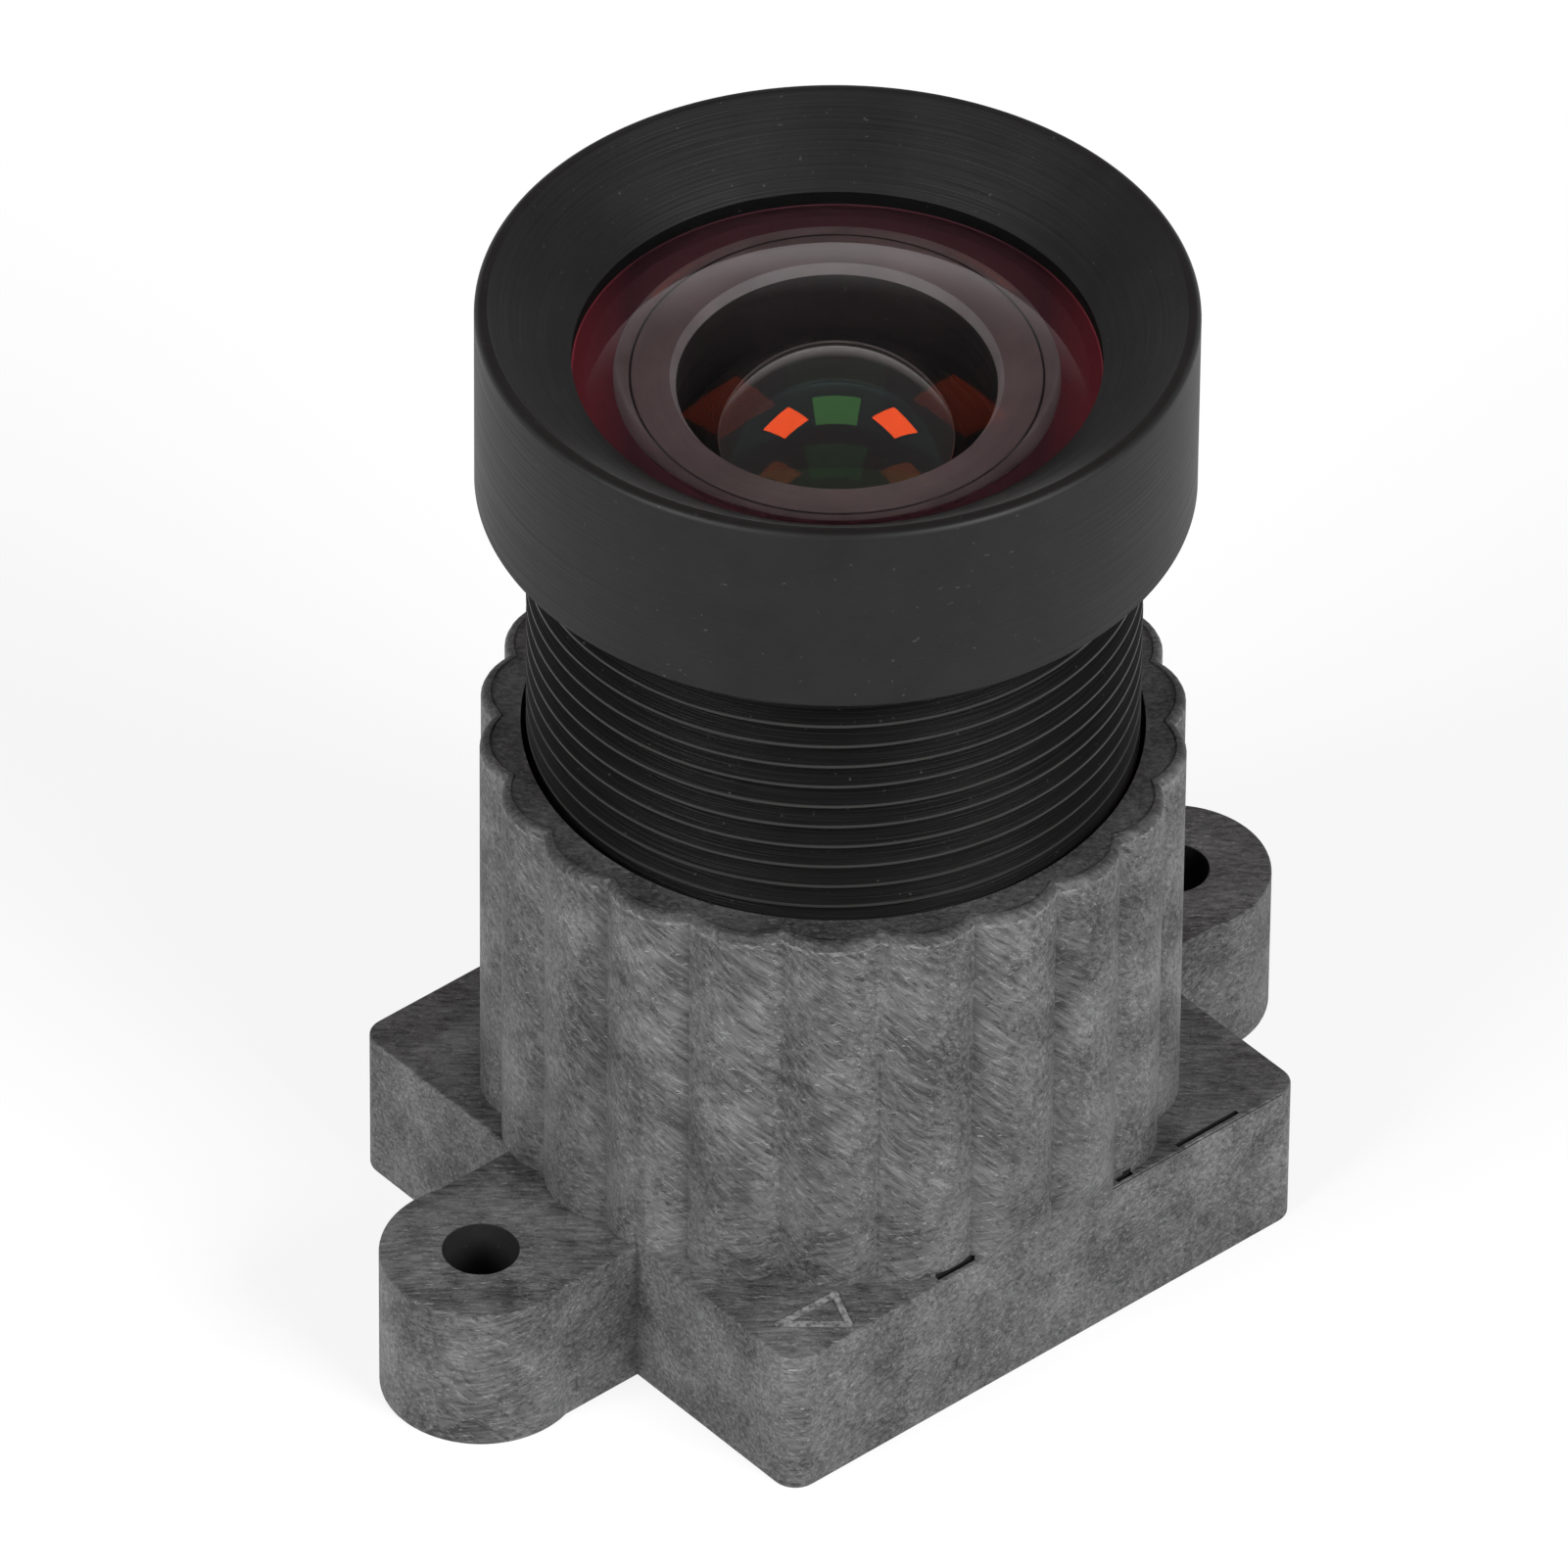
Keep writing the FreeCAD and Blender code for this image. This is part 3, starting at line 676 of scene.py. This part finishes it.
class LENS_OT_holder(bpy.types.Operator):
    """Models the moulded lens holder: plate, ears, fluted barrel, bore (left plain, without the thread the real
    one has) and sensor pocket
    """

    bl_idname = "board_lens.holder"
    bl_label = "Lens holder"

    def lobed_outline(self, sizes):
        """The barrel's outline: one lobe's arc, spun round its own centre and copied round the axis."""
        half_step = math.pi / sizes.lobe_count
        centre = Vector((sizes.crest - sizes.lobe, 0, sizes.plate_thickness - sizes.runout))
        reach = math.sqrt(sizes.lobe ** 2 - (centre.x * math.sin(half_step)) ** 2)
        groove_r = centre.x * math.cos(half_step) + reach
        groove = Vector((groove_r * math.cos(half_step), -groove_r * math.sin(half_step), centre.z))
        half_arc = math.atan2(-groove.y, groove.x - centre.x)
        piece = start_vertex("lens_holder_moulding", groove)
        bpy.ops.mesh.spin(steps=LOBE_STEPS, angle=-2 * half_arc, center=centre, axis=AXIS)
        bpy.ops.mesh.select_all(action="SELECT")
        bpy.ops.mesh.spin(steps=sizes.lobe_count, angle=FULL_TURN, center=(0, 0, 0), axis=AXIS, dupli=True)
        merge_doubles()
        return piece, centre.z

    def fluted_barrel(self, sizes):
        piece, foot = self.lobed_outline(sizes)
        top = HOLDER_HIGH.z
        # (inset of the outline, height) of the rings from the foot up to the top face, which lies a little
        # lower than the edge round it
        rings = [(0, foot), (0, top - sizes.top_bevel), (0.035 * MM, top - 0.06 * MM),
                 (0.09 * MM, top - 0.015 * MM), (0.15 * MM, top - 0.005 * MM), (0.19 * MM, top),
                 (0.23 * MM, top - 0.03 * MM), (0.34 * MM, top - 0.04 * MM)]
        for (inset, height), (next_inset, next_height) in zip(rings, rings[1:]):
            bpy.ops.mesh.extrude_edges_move(TRANSFORM_OT_translate={"value": (0, 0, next_height - height)})
            shrink = (sizes.crest - next_inset) / (sizes.crest - inset)
            bpy.ops.transform.resize(value=(shrink, shrink, 1), center_override=(0, 0, next_height))
        bpy.ops.mesh.edge_face_add()
        select_edges(piece, lambda a, b: abs(a.z - foot) < MERGE_GAP and abs(b.z - foot) < MERGE_GAP)
        bpy.ops.mesh.edge_face_add()
        finish_mesh(piece)
        return piece

    def runout_tool(self, sizes, start, width):
        """A wedge that trims lobes beyond the plate's side, so that they run out to its plane."""
        half = sizes.plate_side / 2
        beyond = half + 3 * (sizes.crest - half)
        thickness = sizes.plate_thickness
        corners = [(half, start, 0), (beyond, start, 0), (beyond, start, thickness + 3 * sizes.runout),
                   (half, start, thickness)]
        piece = start_vertex("runout_tool", corners[0])
        extrude_path(closed(corners))
        merge_doubles()
        bpy.ops.mesh.edge_face_add()
        bpy.ops.mesh.extrude_region_move(TRANSFORM_OT_translate={"value": (0, width, 0)})
        finish_mesh(piece)
        return piece

    def trim_lobes(self, piece, sizes):
        half = sizes.plate_side / 2
        neck = sizes.ear_neck / 2
        for quarter in range(4):
            clear = neck if quarter % 2 == 0 else 0
            for start in (clear, -half):
                tool = self.runout_tool(sizes, start, half - clear)
                tool.rotation_euler = (0, 0, quarter * math.pi / 2)
                settle(tool)
                combine(piece, tool, "DIFFERENCE")

    def ear(self, sizes, side):
        """One ear: a neck that leaves the plate, and a round end."""
        neck = sizes.ear_neck / 2
        centre = Vector((sizes.ear_pitch / 2, 0, 0))
        meet = math.asin(neck / sizes.ear_round)
        join = Vector((centre.x - sizes.ear_round * math.cos(meet), -neck, 0))
        root = Vector((sizes.bore, -neck, 0))
        piece = start_vertex("ear", root)
        extrude_path([root, join])
        bpy.ops.mesh.spin(steps=EAR_STEPS, angle=-2 * (math.pi - meet), center=centre, axis=AXIS)
        extrude_path([Vector((join.x, neck, 0)), Vector((root.x, neck, 0))])
        merge_doubles()
        bpy.ops.mesh.edge_face_add()
        bpy.ops.mesh.extrude_region_move(TRANSFORM_OT_translate={"value": (0, 0, sizes.plate_thickness)})
        outside = sizes.bore + MERGE_GAP
        select_edges(piece, lambda a, b: abs(a.z - b.z) < MERGE_GAP and max(a.x, b.x) > outside)
        bpy.ops.mesh.bevel(offset=sizes.edge_round, segments=3, affect="EDGES")
        finish_mesh(piece)
        if side < 0:
            piece.rotation_euler = (0, 0, math.pi)
            settle(piece)
        return piece

    def screw_hole(self, sizes, side):
        """A round tool for an ear's screw hole, with a small chamfer at its top."""
        top, chamfer = sizes.plate_thickness, 0.015 * MM
        radius = sizes.ear_hole / 2
        piece = turned_piece("hole", [(0, -MM), (radius, -MM), (radius, top - chamfer),
                                      (radius + 2 * chamfer, top + chamfer), (0, top + chamfer)], steps=64)
        piece.location = (side * sizes.ear_pitch / 2, 0, 0)
        settle(piece)
        return piece

    def bore_tool(self, sizes):
        """A turned tool for the bore, with its lead-in and a slight flare at the top."""
        top = HOLDER_HIGH.z
        wide = sizes.bore + sizes.lead_in_step
        flare = 0.1 * MM
        wide_foot = top - sizes.lead_in_depth
        return turned_piece("bore", closed([
            (0, -MM), (sizes.bore, -MM), (sizes.bore, wide_foot - sizes.lead_in_step), (wide, wide_foot),
            (wide, top - flare), (wide + flare, top + MM), (0, top + MM)]), steps=256)

    def index_mark(self, sizes):
        """The small raised triangle on the plate's corner: three ridges joined to one another."""
        corners = [Vector((x * MM, y * MM)) for x, y in ((-6.0, -5.47), (-4.96, -6.34), (-4.6, -5.5))]
        mark = None
        for here, there in zip(corners, corners[1:] + corners[:1]):
            middle = (here + there) / 2
            span = there - here
            size = (span.length + sizes.mark_width, sizes.mark_width, 2 * sizes.mark_height)
            ridge = block("index_mark", size, (0, 0, 0))
            leave_edit()
            ridge.rotation_euler = (0, 0, math.atan2(span.y, span.x))
            ridge.location = (middle.x, middle.y, sizes.plate_thickness)
            settle(ridge)
            if mark:
                combine(mark, ridge, "UNION")
            else:
                mark = ridge
        material, tree, shader = new_material("index_mark_grey")
        speckle = noise(tree, millimetre_place(tree, -900, 100), 9.0, 4.0, 0.6, -500, 100)
        greys = [(0.35, (0.05, 0.05, 0.05)), (0.6, (0.22, 0.22, 0.22))]
        feed(tree, shader.inputs["Base Color"], ramp(tree, speckle, greys, -250, 100))
        wear(mark, material)
        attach(mark, "holder")

    def execute(self, context):
        sizes = context.scene.lens_holder_sizes
        piece = self.fluted_barrel(sizes)
        self.trim_lobes(piece, sizes)
        thickness = sizes.plate_thickness
        plate = rounded_block("plate", (sizes.plate_side, sizes.plate_side, thickness), (0, 0, thickness / 2),
                              sizes.plate_corner, sizes.edge_round)
        combine(piece, plate, "UNION")
        for side in (-1, 1):
            combine(piece, self.ear(sizes, side), "UNION")
        for side in (-1, 1):
            combine(piece, self.screw_hole(sizes, side), "DIFFERENCE")
        pocket_size = (sizes.pocket_side, sizes.pocket_side, 2 * sizes.pocket_depth)
        combine(piece, rounded_block("pocket", pocket_size, (0, 0, 0), sizes.pocket_corner), "DIFFERENCE")
        for x, y, reach in SCARS:
            scar = block("scar", (reach * MM, SCAR_WIDTH, 2 * sizes.scar_depth), (x * MM, y * MM, thickness))
            leave_edit()
            combine(piece, scar, "DIFFERENCE")
        combine(piece, self.bore_tool(sizes), "DIFFERENCE")
        hole_x, hole_r = sizes.ear_pitch / 2, sizes.ear_hole / 2 + 0.05 * MM

        def in_shadow(middle, normal):
            """True on the walls of the screw holes and on the walls and floors of the slits."""
            if math.hypot(abs(middle.x) - hole_x, middle.y) < hole_r and abs(normal.z) < 0.9:
                return True
            place_x, place_y = middle.x / MM, middle.y / MM
            near = any(abs(place_x - x) < reach / 2 + 0.02 and abs(place_y - y) < 0.2 for x, y, reach in SCARS)
            deep = abs(middle.z - thickness) < sizes.scar_depth + MERGE_GAP
            return near and deep and (abs(normal.z) < 0.5 or middle.z < thickness - 0.02 * MM)

        wear(piece, fibre_plastic(), black_metal("hole_shadow", (0.012, 0.012, 0.012), 0.7, 6, 4e-6, 0.1))
        paint(piece, 1, in_shadow)
        smooth(piece, degrees=32)
        ride_and_replace(piece, "holder", "lens_holder")
        self.index_mark(sizes)
        return {"FINISHED"}


def thread_groove(thread, bottom, turns):
    """A closed helical tool that cuts the groove between two turns of the lens thread."""
    root = thread.crest - thread.depth
    beyond = thread.crest + 0.08 * MM
    half_root = thread.root_flat / 2
    half_mouth = (thread.pitch - thread.crest_flat) / 2
    slope = (half_mouth - half_root) / thread.depth
    half_beyond = half_root + slope * (beyond - root)
    corners = [(root, bottom - half_root), (beyond, bottom - half_beyond), (beyond, bottom + half_beyond),
               (root, bottom + half_root)]
    path = [Vector((r, 0, z)) for r, z in corners]
    piece = start_vertex("thread_groove", path[0])
    extrude_path(closed(path))
    merge_doubles()
    leave_edit()
    settle(piece)
    screw = piece.modifiers.new("helix", "SCREW")
    screw.axis = "Z"
    screw.angle = FULL_TURN
    screw.screw_offset = thread.pitch
    screw.iterations = turns
    screw.steps = screw.render_steps = THREAD_STEPS
    screw.use_merge_vertices = False
    bpy.ops.object.modifier_apply(modifier=screw.name)
    enter_edit()
    merge_doubles()
    bpy.ops.mesh.select_all(action="DESELECT")
    bpy.ops.mesh.select_mode(type="EDGE")
    bpy.ops.mesh.select_non_manifold()
    bpy.ops.mesh.fill_holes(sides=len(corners))
    finish_mesh(piece)
    piece.rotation_euler = (0, 0, thread.start_angle)
    settle(piece)
    return piece


class LENS_OT_barrel(bpy.types.Operator):
    """Models the lens barrel: the turned body with its stepped bores, and the thread cut into it"""

    bl_idname = "board_lens.barrel"
    bl_label = "Lens barrel"

    def execute(self, context):
        thread = context.scene.lens_thread_sizes
        rear = BARREL_LOW.z
        hub_top = BARREL_HIGH.z
        hub = context.scene.lens_cap_sizes.skirt - FIT_GAP
        head_bottom = CAP_LOW.z
        relief_bottom = head_bottom - thread.relief_length
        front_low, front_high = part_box("front_element")
        retainer_low, retainer_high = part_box("rear_retainer")
        spacer_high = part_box("front_spacer")[1]
        third_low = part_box("third_element")[0]
        stop_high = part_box("aperture_stop")[1]
        filter_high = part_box("ir_filter")[1]
        flange_hole = 2.7 * MM
        third_rear = third_low.z + 0.59 * MM
        shoulder = front_low.z - PAINT_GAP
        profile = [
            (filter_high.x + FIT_GAP, rear),
            (thread.crest - thread.end_chamfer, rear),
            (thread.crest, rear + thread.end_chamfer),
            (thread.crest, relief_bottom),
            (thread.relief, relief_bottom + thread.crest - thread.relief),
            (thread.relief, head_bottom),
            (hub, head_bottom),
            (hub, hub_top),
            (front_high.x + FIT_GAP, hub_top),
            (front_high.x + FIT_GAP, shoulder),
            (spacer_high.x + FIT_GAP, shoulder),
            (spacer_high.x + FIT_GAP, third_rear),
            (flange_hole, third_rear),
            (flange_hole, stop_high.z),
            (stop_high.x + FIT_GAP, stop_high.z),
            (stop_high.x + FIT_GAP, retainer_high.z),
            (retainer_high.x + FIT_GAP, retainer_high.z),
            (retainer_high.x + FIT_GAP, retainer_low.z),
            (filter_high.x + FIT_GAP, retainer_low.z),
        ]
        piece = turned_piece("lens_barrel_turned", closed(profile), steps=240)
        first_turn = rear - 2 * thread.pitch
        turns = math.ceil((head_bottom - first_turn) / thread.pitch) - 1
        combine(piece, thread_groove(thread, first_turn, turns), "DIFFERENCE")
        smooth(piece, degrees=32)
        finish = context.scene.lens_finishes
        paler = (thread.crest, finish.thread_crest)
        wear(piece, black_metal("black_thread", finish.thread_black, 0.42, 24, 8e-6, 0.15, paler))
        ride_and_replace(piece, "lens", "lens_barrel")
        return {"FINISHED"}


class LENS_OT_cap(bpy.types.Operator):
    """Models the front cap: the flared head with its conical recess and the lip over the front glass"""

    bl_idname = "board_lens.cap"
    bl_label = "Front cap"

    def execute(self, context):
        sizes = context.scene.lens_cap_sizes
        outer, rim, bottom = CAP_HIGH.x, CAP_HIGH.z, CAP_LOW.z
        cone_foot = rim - sizes.cone_depth
        lip_bottom = cone_foot - sizes.lip
        chamfer = sizes.bottom_chamfer
        rounding = sizes.rim_round
        profile = arc_points((outer - rounding, rim - rounding), rounding, 0, math.pi / 2, 8) + [
            (outer - rounding - sizes.rim_land, rim),
            (outer - rounding - sizes.rim_land - 0.03 * MM, rim - 0.02 * MM),
            (sizes.lip_hole, cone_foot),
            (sizes.lip_hole, lip_bottom),
            (sizes.skirt, lip_bottom),
            (sizes.skirt, bottom),
            (outer - chamfer, bottom),
            (outer, bottom + chamfer),
        ]
        piece = turned_piece("front_cap_turned", closed(profile), steps=256)
        finish = context.scene.lens_finishes
        # The lip's inner wall gets a near-black copy of the anodised metal, as painted shade
        wear(piece, black_metal("black_anodised", finish.metal_black, 0.48, 14, 7e-6, 0.2),
             black_metal("lip_painted_shade", (0.0015, 0.0015, 0.0015), 0.6, 14, 4e-6, 0.08))
        paint(piece, 1, lambda middle, normal: away(middle) < sizes.lip_hole + MERGE_GAP)
        smooth(piece, degrees=30)
        ride_and_replace(piece, "lens", "front_cap")
        return {"FINISHED"}


# Each glass: name, radius and depth of the front surface, radius and depth of the rear one, in millimetres. A
# depth is positive where the pole lies above the edge
ELEMENTS = [
    ("front_element", 5.10, 1.30, 3.72, 0.50),
    ("second_element", 2.75, 1.30, 2.50, 1.34),
    ("third_element", 2.60, 0.73, 2.60, -0.59),
    ("fourth_element", 2.10, 0.38, 3.70, -0.90),
    ("fifth_element", 3.70, -0.90, 2.60, 0.17),
    ("sixth_element", 2.45, 0.58, 2.85, -0.35),
]
GLASS_BEVEL = 0.08 * MM
PAINT_INNER_R = 4.03 * MM


class LENS_OT_glasses(bpy.types.Operator):
    """Turns the six glass elements, with their ground and blackened edges"""

    bl_idname = "board_lens.glasses"
    bl_label = "Glass elements"

    def element(self, name, front_r, front_depth, rear_r, rear_depth):
        low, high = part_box(name)
        outer = high.x
        front_z = high.z - max(front_depth, 0)
        rear_z = low.z - min(rear_depth, 0)
        front = dome_points(front_r, front_z, front_depth)
        rear = dome_points(rear_r, rear_z, rear_depth)
        edge = []
        if front_r < outer - MERGE_GAP:
            edge += [(outer - GLASS_BEVEL, front_z), (outer, front_z - GLASS_BEVEL)]
        if rear_r < outer - MERGE_GAP:
            edge += [(outer, rear_z + GLASS_BEVEL), (outer - GLASS_BEVEL, rear_z)]
        painted_r = rear_r
        if name == "front_element":
            painted_r = PAINT_INNER_R
            edge.append((painted_r, rear_z))
        piece = turned_piece(name + "_glass", front + edge + rear[::-1], steps=160)
        edge_r = min(front_r, rear_r)
        half_way = (front_z + rear_z) / 2

        def ground(middle, normal):
            on_front = away(middle) < front_r and middle.z > half_way
            on_rear = away(middle) < painted_r and middle.z < half_way + max(rear_depth, 0)
            return not (on_front or on_rear) and away(middle) > edge_r * 0.98

        return piece, ground

    def execute(self, context):
        finish = context.scene.lens_finishes
        edge = black_metal("glass_edge_black", (0.006, 0.006, 0.006), 0.6, 10, 4e-6, 0.1)
        # The front glass's edge paint carries painted reflections
        maroon = edge_paint(finish.glass_edge, finish.glass_edge_painted_reflection)
        glasses = [
            coated_glass("front_glass", 1.6, 0.5, (0.03, 0.012, 0.02)),
            coated_glass("second_glass", 1.65, 0.5, (1.0, 0.1, 0.0), (0.08, 0.17, 0.18), 2.6),
            coated_glass("third_glass", 1.6, 0.5, (0.08, 0.4, 0.12)),
            coated_glass("fourth_glass", 1.6, 0.5, (0.04, 0.2, 0.2)),
            coated_glass("fifth_glass", 1.7, 0.5, (0.2, 0.08, 0.2)),
            coated_glass("sixth_glass", 1.6, 0.5, (0.1, 0.2, 0.1)),
        ]
        for (name, front_r, front_depth, rear_r, rear_depth), glass in zip(ELEMENTS, glasses):
            piece, ground = self.element(name, front_r * MM, front_depth * MM, rear_r * MM, rear_depth * MM)
            wear(piece, glass, maroon if name == "front_element" else edge)
            paint(piece, 1, ground)
            smooth(piece, degrees=20)
            ride_and_replace(piece, "lens", name)
        return {"FINISHED"}


class LENS_OT_rings(bpy.types.Operator):
    """Turns the ring behind the front glass and gives the rings inside the lens their finishes"""

    bl_idname = "board_lens.rings"
    bl_label = "Inner rings"

    def execute(self, context):

        def slopes(normal):
            return 0.3 < normal.z < 0.95

        finish = context.scene.lens_finishes
        low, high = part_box("front_spacer")
        hole, bevel, scribed, half_line = 2.85 * MM, 0.12 * MM, 3.7 * MM, 0.025 * MM
        top = high.z - PAINT_GAP
        piece = turned_piece("front_spacer_ring", closed([
            (hole, low.z), (high.x, low.z), (high.x, top - 0.03 * MM), (high.x - 0.03 * MM, top),
            (scribed + half_line, top), (scribed, top - 2 * half_line), (scribed - half_line, top),
            (hole + bevel, top), (hole, top - bevel)]), steps=192)
        # The ring's top keeps its own grey; painted shade darkens its hole's wall and its scribed groove, and a
        # painted highlight lightens its bevel
        wear(piece, black_metal("spacer_grey", finish.spacer_grey, 0.5, 10, 6e-6),
             black_metal("spacer_painted_shade", (0.016, 0.010, 0.011), 0.5, 10, 6e-6),
             black_metal("spacer_bevel_painted_highlight", (0.19, 0.165, 0.17), 0.5, 10, 6e-6))
        inside = hole + MERGE_GAP
        # Painted shade on the hole's wall and in the scribed groove, painted highlight on the bevel
        paint(piece, 1, lambda middle, normal: away(middle) < inside)
        paint(piece, 2, lambda middle, normal: slopes(normal) and inside < away(middle) < hole + bevel)
        paint(piece, 1, lambda middle, normal: slopes(normal) and abs(away(middle) - scribed) < half_line)
        smooth(piece, degrees=30)
        ride_and_replace(piece, "lens", "front_spacer")
        ring_black = black_metal("ring_black", (0.006, 0.006, 0.006), 0.5, 20, 6e-6)
        shield_black = black_metal("shield_black", (0.004, 0.004, 0.004), 0.65, 8, 3e-6)
        for node in ("middle_spacer", "stop_spacer", "rear_spacer", "rear_retainer"):
            wear(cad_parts[node], ring_black)
        for node in ("front_light_shield", "rear_light_shield", "aperture_stop"):
            wear(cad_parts[node], shield_black)
        filter_glass = coated_glass("filter_glass", 1.5, 0.6, (1.0, 0.45, 0.4), (0.72, 0.95, 0.93))
        wear(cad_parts["ir_filter"], filter_glass)
        return {"FINISHED"}


class LENS_OT_stage(bpy.types.Operator):
    """Sets the pale floor, the soft lamps, the world and the camera at the photograph's angle"""

    bl_idname = "board_lens.stage"
    bl_label = "Stage, lamps and camera"

    def camera(self, studio):
        azimuth, elevation = studio.azimuth, studio.elevation
        back = unit_vector(azimuth, elevation)
        right = Vector((math.cos(azimuth), math.sin(azimuth), 0))
        up = back.cross(right)
        turn = Matrix.Rotation(studio.roll, 3, back)
        right, up = turn @ right, turn @ up
        place = Vector((0, 0, studio.aim_height)) + back * studio.distance
        place -= right * studio.aim_right + up * studio.aim_up
        bpy.ops.object.camera_add()
        camera = bpy.context.object
        camera.matrix_world = Matrix.Translation(place) @ Matrix((right, up, back)).transposed().to_4x4()
        camera.data.lens = studio.lens_mm
        camera.data.sensor_width = 36
        camera.data.clip_start = 0.05
        camera.data.clip_end = 20
        bpy.context.scene.camera = camera

    def lamp(self, name, azimuth, elevation, side, power, light=(1, 1, 1), lights_diffuse=True):
        """A square soft lamp that looks at the lens from an azimuth and an elevation in degrees."""
        toward = unit_vector(math.radians(azimuth), math.radians(elevation))
        bpy.ops.object.light_add(type="AREA", location=LAMP_TARGET + toward * LAMP_DISTANCE)
        lamp = bpy.context.object
        lamp.name = name
        lamp.rotation_euler = toward.to_track_quat("Z", "Y").to_euler()
        lamp.data.shape = "RECTANGLE"
        lamp.data.size = lamp.data.size_y = side
        lamp.data.energy = power
        lamp.data.color = light
        lamp.visible_diffuse = lights_diffuse

    def floor(self):
        bpy.ops.object.select_all(action="DESELECT")
        bpy.ops.mesh.primitive_plane_add(size=6)
        floor = bpy.context.object
        floor.name = "studio_floor"
        material, tree, shader = new_material("pale_floor")
        fill(tree, shader, {"Base Color": (0.9, 0.9, 0.9, 1), "Roughness": 0.9, "Specular IOR Level": 0.0})
        glow = add_node(tree, "ShaderNodeEmission", -200, 200)
        glow_share = maths(tree, "MULTIPLY", seen_directly(tree, -600, -200), 0.8, 0, -200)
        mix = add_node(tree, "ShaderNodeMixShader", 350, 100)
        fill(tree, mix, {"Fac": glow_share, 1: shader.outputs[0], 2: glow.outputs[0]})
        tree.links.new(mix.outputs[0], tree.nodes["Material Output"].inputs["Surface"])
        wear(floor, material)

    def world(self):
        world = bpy.data.worlds.new("soft_white_room")
        bpy.context.scene.world = world
        world.use_nodes = True
        tree = world.node_tree
        background = tree.nodes["Background"]
        background.inputs["Color"].default_value = (1, 1, 1, 1)
        seen = seen_directly(tree, -700, 0)
        ray = add_node(tree, "ShaderNodeTexCoord", -900, -300)
        parts = add_node(tree, "ShaderNodeSeparateXYZ", -700, -300)
        tree.links.new(ray.outputs["Generated"], parts.inputs[0])
        # The room is white low down and dark overhead, and lights matt surfaces softly from all sides
        room = mapped(tree, parts.outputs["Z"], 0.25, 0.5, 1.0, 0.06, -500, -300)
        backdrop = maths(tree, "MULTIPLY", seen, room, -180, -100)
        soft = maths(tree, "MULTIPLY", maths(tree, "SUBTRACT", 1.0, seen, -340, 100), 0.14, -180, 100)
        tree.links.new(maths(tree, "ADD", backdrop, soft, 0, 0), background.inputs["Strength"])

    def execute(self, context):
        scene = context.scene
        scene.view_settings.view_transform = "Standard"
        self.camera(scene.lens_studio)
        self.floor()
        self.world()
        self.lamp("softbox_right", 8, 30, SOFTBOX_SIDE, 10)
        self.lamp("softbox_left", -90, 30, SOFTBOX_SIDE, 8.5)
        # These three show only as reflections in the coated glasses
        self.lamp("glint_left", 172.9, 57.2, 0.18, 0.3, WARM, lights_diffuse=False)
        self.lamp("glint_right", 103.5, 54.0, 0.18, 0.3, WARM, lights_diffuse=False)
        self.lamp("glint_top", 139, 60, 0.24, 0.055, GREENISH, lights_diffuse=False)
        return {"FINISHED"}


class LENS_PT_panel(bpy.types.Panel):
    """Lists the operators that build the lens"""

    bl_idname = "LENS_PT_board_lens"
    bl_label = "Board lens"
    bl_space_type = "VIEW_3D"
    bl_region_type = "UI"
    bl_category = "Board lens"

    def draw(self, context):
        for operator in OPERATORS:
            self.layout.operator(operator.bl_idname)


OPERATORS = (LENS_OT_stage, LENS_OT_holder, LENS_OT_barrel, LENS_OT_cap, LENS_OT_glasses, LENS_OT_rings)
GROUPS = {
    "lens_holder_sizes": HolderSizes,
    "lens_thread_sizes": ThreadSizes,
    "lens_cap_sizes": CapSizes,
    "lens_finishes": Finishes,
    "lens_studio": StudioSizes,
}


def register():
    for kind in (*GROUPS.values(), *OPERATORS, LENS_PT_panel):
        bpy.utils.register_class(kind)
    for name, kind in GROUPS.items():
        setattr(bpy.types.Scene, name, PointerProperty(type=kind))


def unregister():
    for name in GROUPS:
        delattr(bpy.types.Scene, name)
    for kind in (LENS_PT_panel, *reversed(OPERATORS), *reversed(list(GROUPS.values()))):
        bpy.utils.unregister_class(kind)


def main():
    register()
    bpy.ops.board_lens.stage()
    bpy.ops.board_lens.holder()
    bpy.ops.board_lens.barrel()
    bpy.ops.board_lens.cap()
    bpy.ops.board_lens.glasses()
    bpy.ops.board_lens.rings()


if __name__ == "__main__":
    main()
